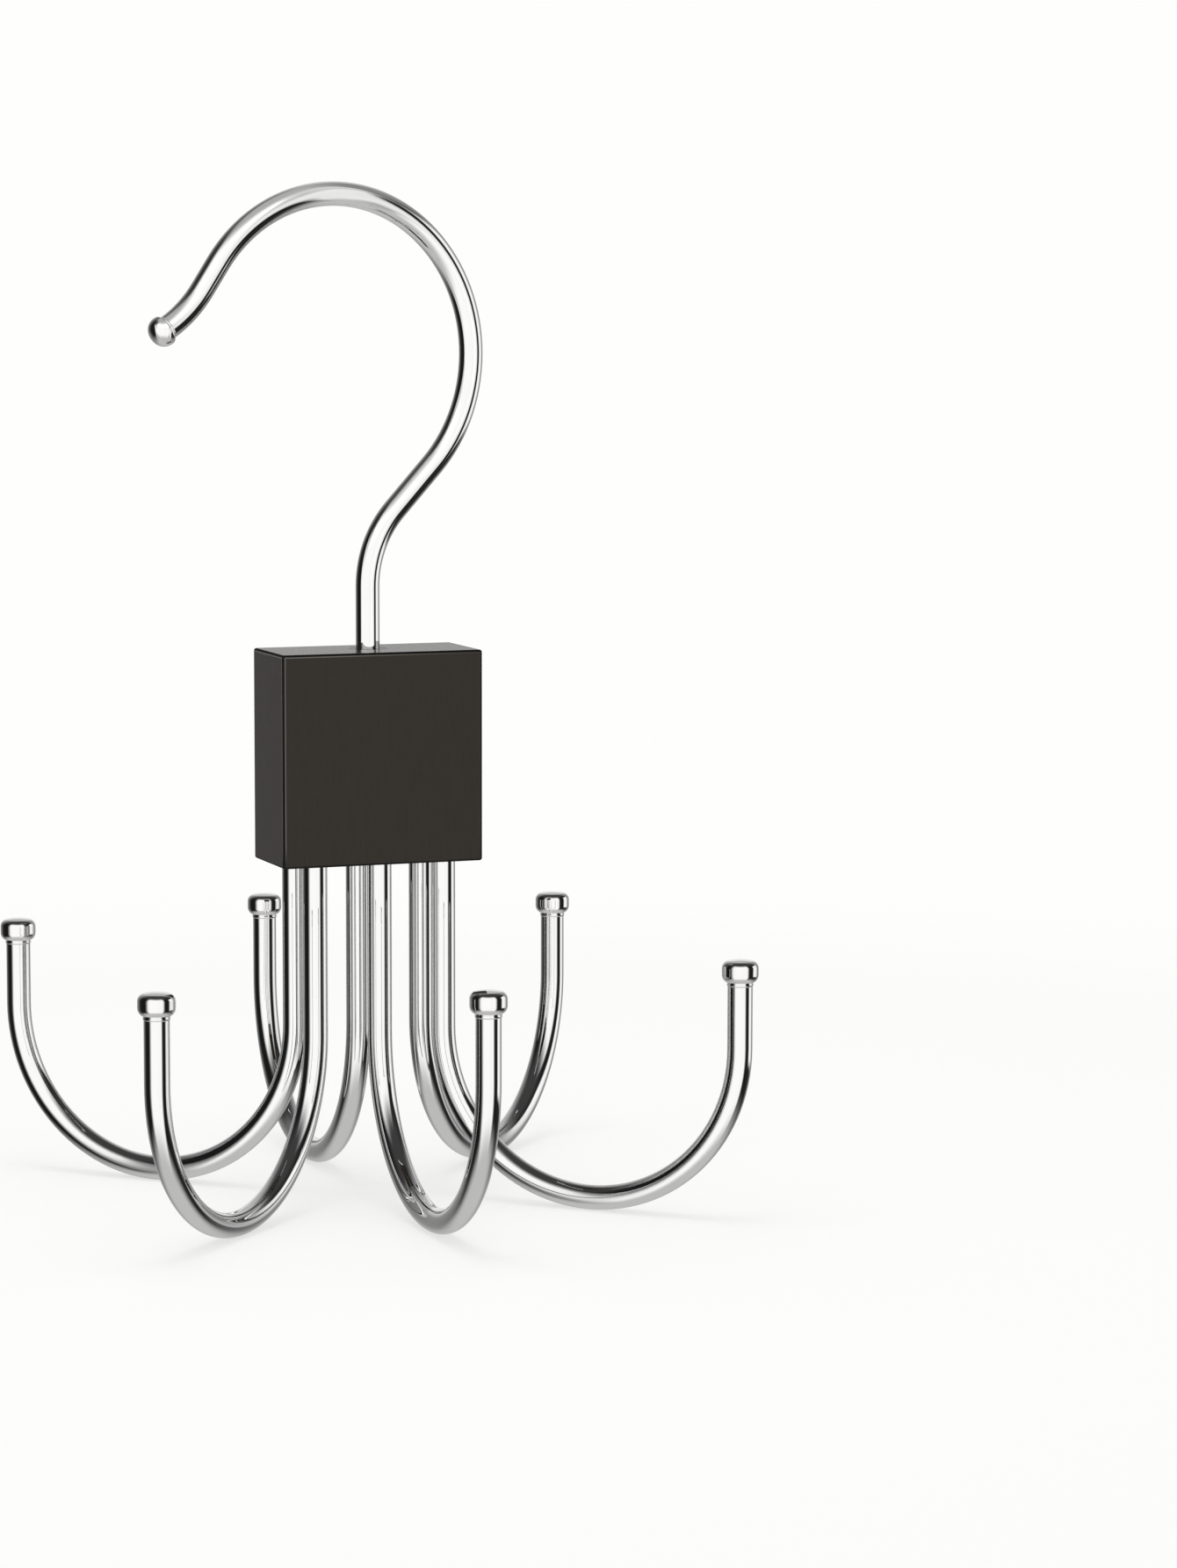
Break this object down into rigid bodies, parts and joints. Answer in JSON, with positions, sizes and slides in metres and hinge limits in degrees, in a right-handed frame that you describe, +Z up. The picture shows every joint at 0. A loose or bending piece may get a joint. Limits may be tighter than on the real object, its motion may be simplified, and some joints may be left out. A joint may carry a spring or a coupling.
{
  "type": "tie hanger",
  "caption": "Square wooden block on a swivelling wardrobe hook, with splayed J-shaped rods below it for ties and belts.",
  "frame": {"origin": "under the middle of the block, on the surface that the bowls of the six hooks stand on", "axes": "+Z up along the swivel, +X across the block's width, -Y out of the block's front face"},
  "size_m": [0.1146, 0.137, 0.186],
  "materials": {
    "black_wood": "hardwood block, stained and lacquered matt black",
    "bush_nylon": "black moulded nylon",
    "washer_steel": "zinc-plated steel",
    "chromed_wire": "steel wire, bent, polished and bright chromed",
    "chromed_cap": "turned steel cap, polished and bright chromed"
  },
  "bodies": {
    "block_assembly": {"block": "black_wood", "swivel_bush": "bush_nylon", "tie_hook_front_left": "chromed_wire", "tie_hook_front_middle": "chromed_wire", "tie_hook_front_right": "chromed_wire", "tie_hook_back_left": "chromed_wire", "tie_hook_back_middle": "chromed_wire", "tie_hook_back_right": "chromed_wire", "tie_hook_cap_front_left": "chromed_cap", "tie_hook_cap_front_middle": "chromed_cap", "tie_hook_cap_front_right": "chromed_cap", "tie_hook_cap_back_left": "chromed_cap", "tie_hook_cap_back_middle": "chromed_cap", "tie_hook_cap_back_right": "chromed_cap"},
    "hanging_hook_assembly": {"hanging_hook": "chromed_wire", "hanging_hook_cap": "chromed_cap", "hook_washer": "washer_steel"}
  },
  "joints": [
    {"name": "hanging_hook_swivel", "type": "hinge", "parent": "block_assembly", "child": "hanging_hook_assembly", "pos_m": [0, 0, 0.1013], "axis": [0, 0, 1], "continuous": true}
  ]
}
